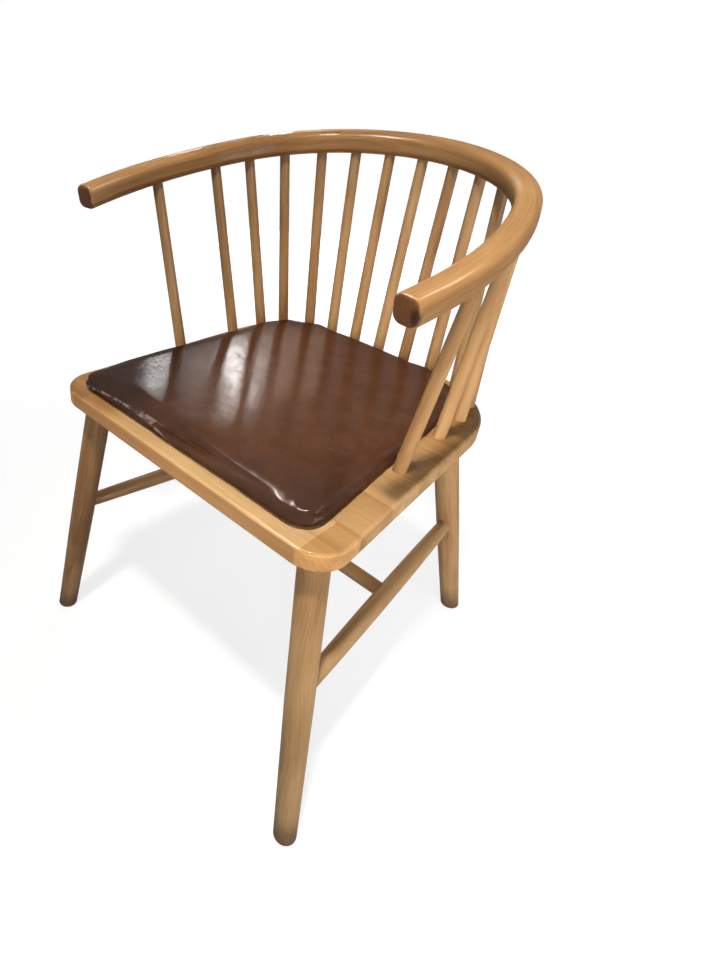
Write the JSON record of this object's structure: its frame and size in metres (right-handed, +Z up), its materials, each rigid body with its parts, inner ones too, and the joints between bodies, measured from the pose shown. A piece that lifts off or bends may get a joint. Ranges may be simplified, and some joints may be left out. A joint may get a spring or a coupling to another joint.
{
  "type": "spindle back armchair",
  "caption": "Wooden dining armchair: one bent bow makes the crest rail and both arms, carried on turned spindles, over splayed legs with an H stretcher and a thin leather seat pad.",
  "frame": {"origin": "On the floor, under the middle of the chair's box", "axes": "+Z up, -Y the way the sitter faces, +X to the right as seen from the front"},
  "size_m": [0.5284, 0.5399, 0.7541],
  "materials": {
    "seat_wood": "honey hardwood blocks edge-glued, satin clear lacquer",
    "rail_wood": "honey hardwood, bent, satin clear lacquer",
    "spindle_wood": "honey hardwood, turned, satin clear lacquer",
    "leg_wood": "honey hardwood, turned, satin clear lacquer",
    "stretcher_wood": "honey hardwood, turned, satin clear lacquer",
    "cross_wood": "honey hardwood, turned, satin clear lacquer",
    "pad_plywood": "plain birch plywood",
    "pad_foam": "cut foam",
    "pad_leather": "dark brown leather, glossy and finely creased",
    "screw_steel": "zinc plated"
  },
  "bodies": {
    "root": {"seat_plank": "seat_wood", "arm_rail": "rail_wood", "spindle_01": "spindle_wood", "spindle_02": "spindle_wood", "spindle_03": "spindle_wood", "spindle_04": "spindle_wood", "spindle_05": "spindle_wood", "spindle_06": "spindle_wood", "spindle_07": "spindle_wood", "spindle_08": "spindle_wood", "spindle_09": "spindle_wood", "spindle_10": "spindle_wood", "spindle_11": "spindle_wood", "spindle_12": "spindle_wood", "spindle_13": "spindle_wood", "spindle_14": "spindle_wood", "spindle_15": "spindle_wood", "leg_front_left": "leg_wood", "leg_front_right": "leg_wood", "leg_rear_left": "leg_wood", "leg_rear_right": "leg_wood", "stretcher_left": "stretcher_wood", "stretcher_right": "stretcher_wood", "stretcher_cross": "cross_wood", "pad_board": "pad_plywood", "pad_foam": "pad_foam", "pad_cover": "pad_leather", "pad_screws": "screw_steel"}
  },
  "joints": []
}
